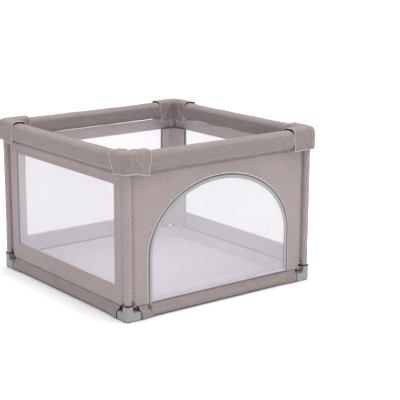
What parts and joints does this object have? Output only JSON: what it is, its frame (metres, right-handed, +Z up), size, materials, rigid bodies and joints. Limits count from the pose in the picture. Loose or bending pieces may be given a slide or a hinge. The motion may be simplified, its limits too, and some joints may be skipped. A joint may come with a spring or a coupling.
{
  "type": "playpen",
  "caption": "Square fabric playpen on a tube frame, with padded top rails, corner caps, mesh windows and an arched mesh door that unzips and folds down.",
  "frame": {"origin": "on the ground, at the centre of the square that the four feet make", "axes": "+Z up; the door's wall faces -Y; +X to the right when looking at the door from outside"},
  "size_m": [1.0396, 1.0396, 0.7058],
  "materials": {
    "heather_cloth": "heathered weave, matt",
    "wall_cloth": "heathered weave, matt",
    "window_mesh": "fine open mesh, matt",
    "zip_tape": "woven tape, matt",
    "floor_cloth": "plain weave, matt",
    "foot_plastic": "fine textured moulding",
    "steel_tube": "satin powder coat",
    "grip_rubber": "matt",
    "black_elastic": "ribbed elastic, matt",
    "slider_metal": "satin enamel"
  },
  "bodies": {
    "pen": {"bottom_rail_back": "steel_tube", "bottom_rail_front": "steel_tube", "bottom_rail_left": "steel_tube", "bottom_rail_right": "steel_tube", "bottom_sleeve_back": "wall_cloth", "bottom_sleeve_front": "wall_cloth", "bottom_sleeve_left": "wall_cloth", "bottom_sleeve_right": "wall_cloth", "corner_cap_back_left": "heather_cloth", "corner_cap_back_right": "heather_cloth", "corner_cap_front_left": "heather_cloth", "corner_cap_front_right": "heather_cloth", "floor_mat": "floor_cloth", "floor_sheet": "floor_cloth", "foot_back_left": "foot_plastic", "foot_back_right": "foot_plastic", "foot_binding_back_left": "black_elastic", "foot_binding_back_right": "black_elastic", "foot_binding_front_left": "black_elastic", "foot_binding_front_right": "black_elastic", "foot_front_left": "foot_plastic", "foot_front_right": "foot_plastic", "foot_grip_back_left": "grip_rubber", "foot_grip_back_right": "grip_rubber", "foot_grip_front_left": "grip_rubber", "foot_grip_front_right": "grip_rubber", "post_back_left": "steel_tube", "post_back_right": "steel_tube", "post_front_left": "steel_tube", "post_front_right": "steel_tube", "post_sleeve_back_left": "wall_cloth", "post_sleeve_back_right": "wall_cloth", "post_sleeve_front_left": "wall_cloth", "post_sleeve_front_right": "wall_cloth", "rail_pad_back": "heather_cloth", "rail_pad_front": "heather_cloth", "rail_pad_left": "heather_cloth", "rail_pad_right": "heather_cloth", "top_corner_back_left": "foot_plastic", "top_corner_back_right": "foot_plastic", "top_corner_front_left": "foot_plastic", "top_corner_front_right": "foot_plastic", "top_rail_back": "steel_tube", "top_rail_front": "steel_tube", "top_rail_left": "steel_tube", "top_rail_right": "steel_tube", "wall_back": "wall_cloth", "wall_front": "wall_cloth", "wall_left": "wall_cloth", "wall_right": "wall_cloth", "window_mesh_back": "window_mesh", "window_mesh_left": "window_mesh", "window_mesh_right": "window_mesh", "zip_tape_wall": "zip_tape"},
    "door": {"zip_tape_door": "zip_tape", "door_border": "zip_tape", "door_mesh": "window_mesh"},
    "zip_slider": {"zip_slider": "slider_metal"},
    "zip_pull": {"zip_pull": "slider_metal"}
  },
  "joints": [
    {"name": "door_fold", "type": "hinge", "parent": "pen", "child": "door", "pos_m": [0, -0.4856, 0.0563], "axis": [1, 0, 0], "range_deg": [0, 95]},
    {"name": "zip_travel", "type": "slide", "parent": "pen", "child": "zip_slider", "axis": [0, 0, 1], "range_m": [0, 0.19]},
    {"name": "zip_pull_flip", "type": "hinge", "parent": "zip_slider", "child": "zip_pull", "pos_m": [-0.37685, -0.4928, 0.046], "axis": [-1, 0, 0], "range_deg": [0, 85]}
  ]
}
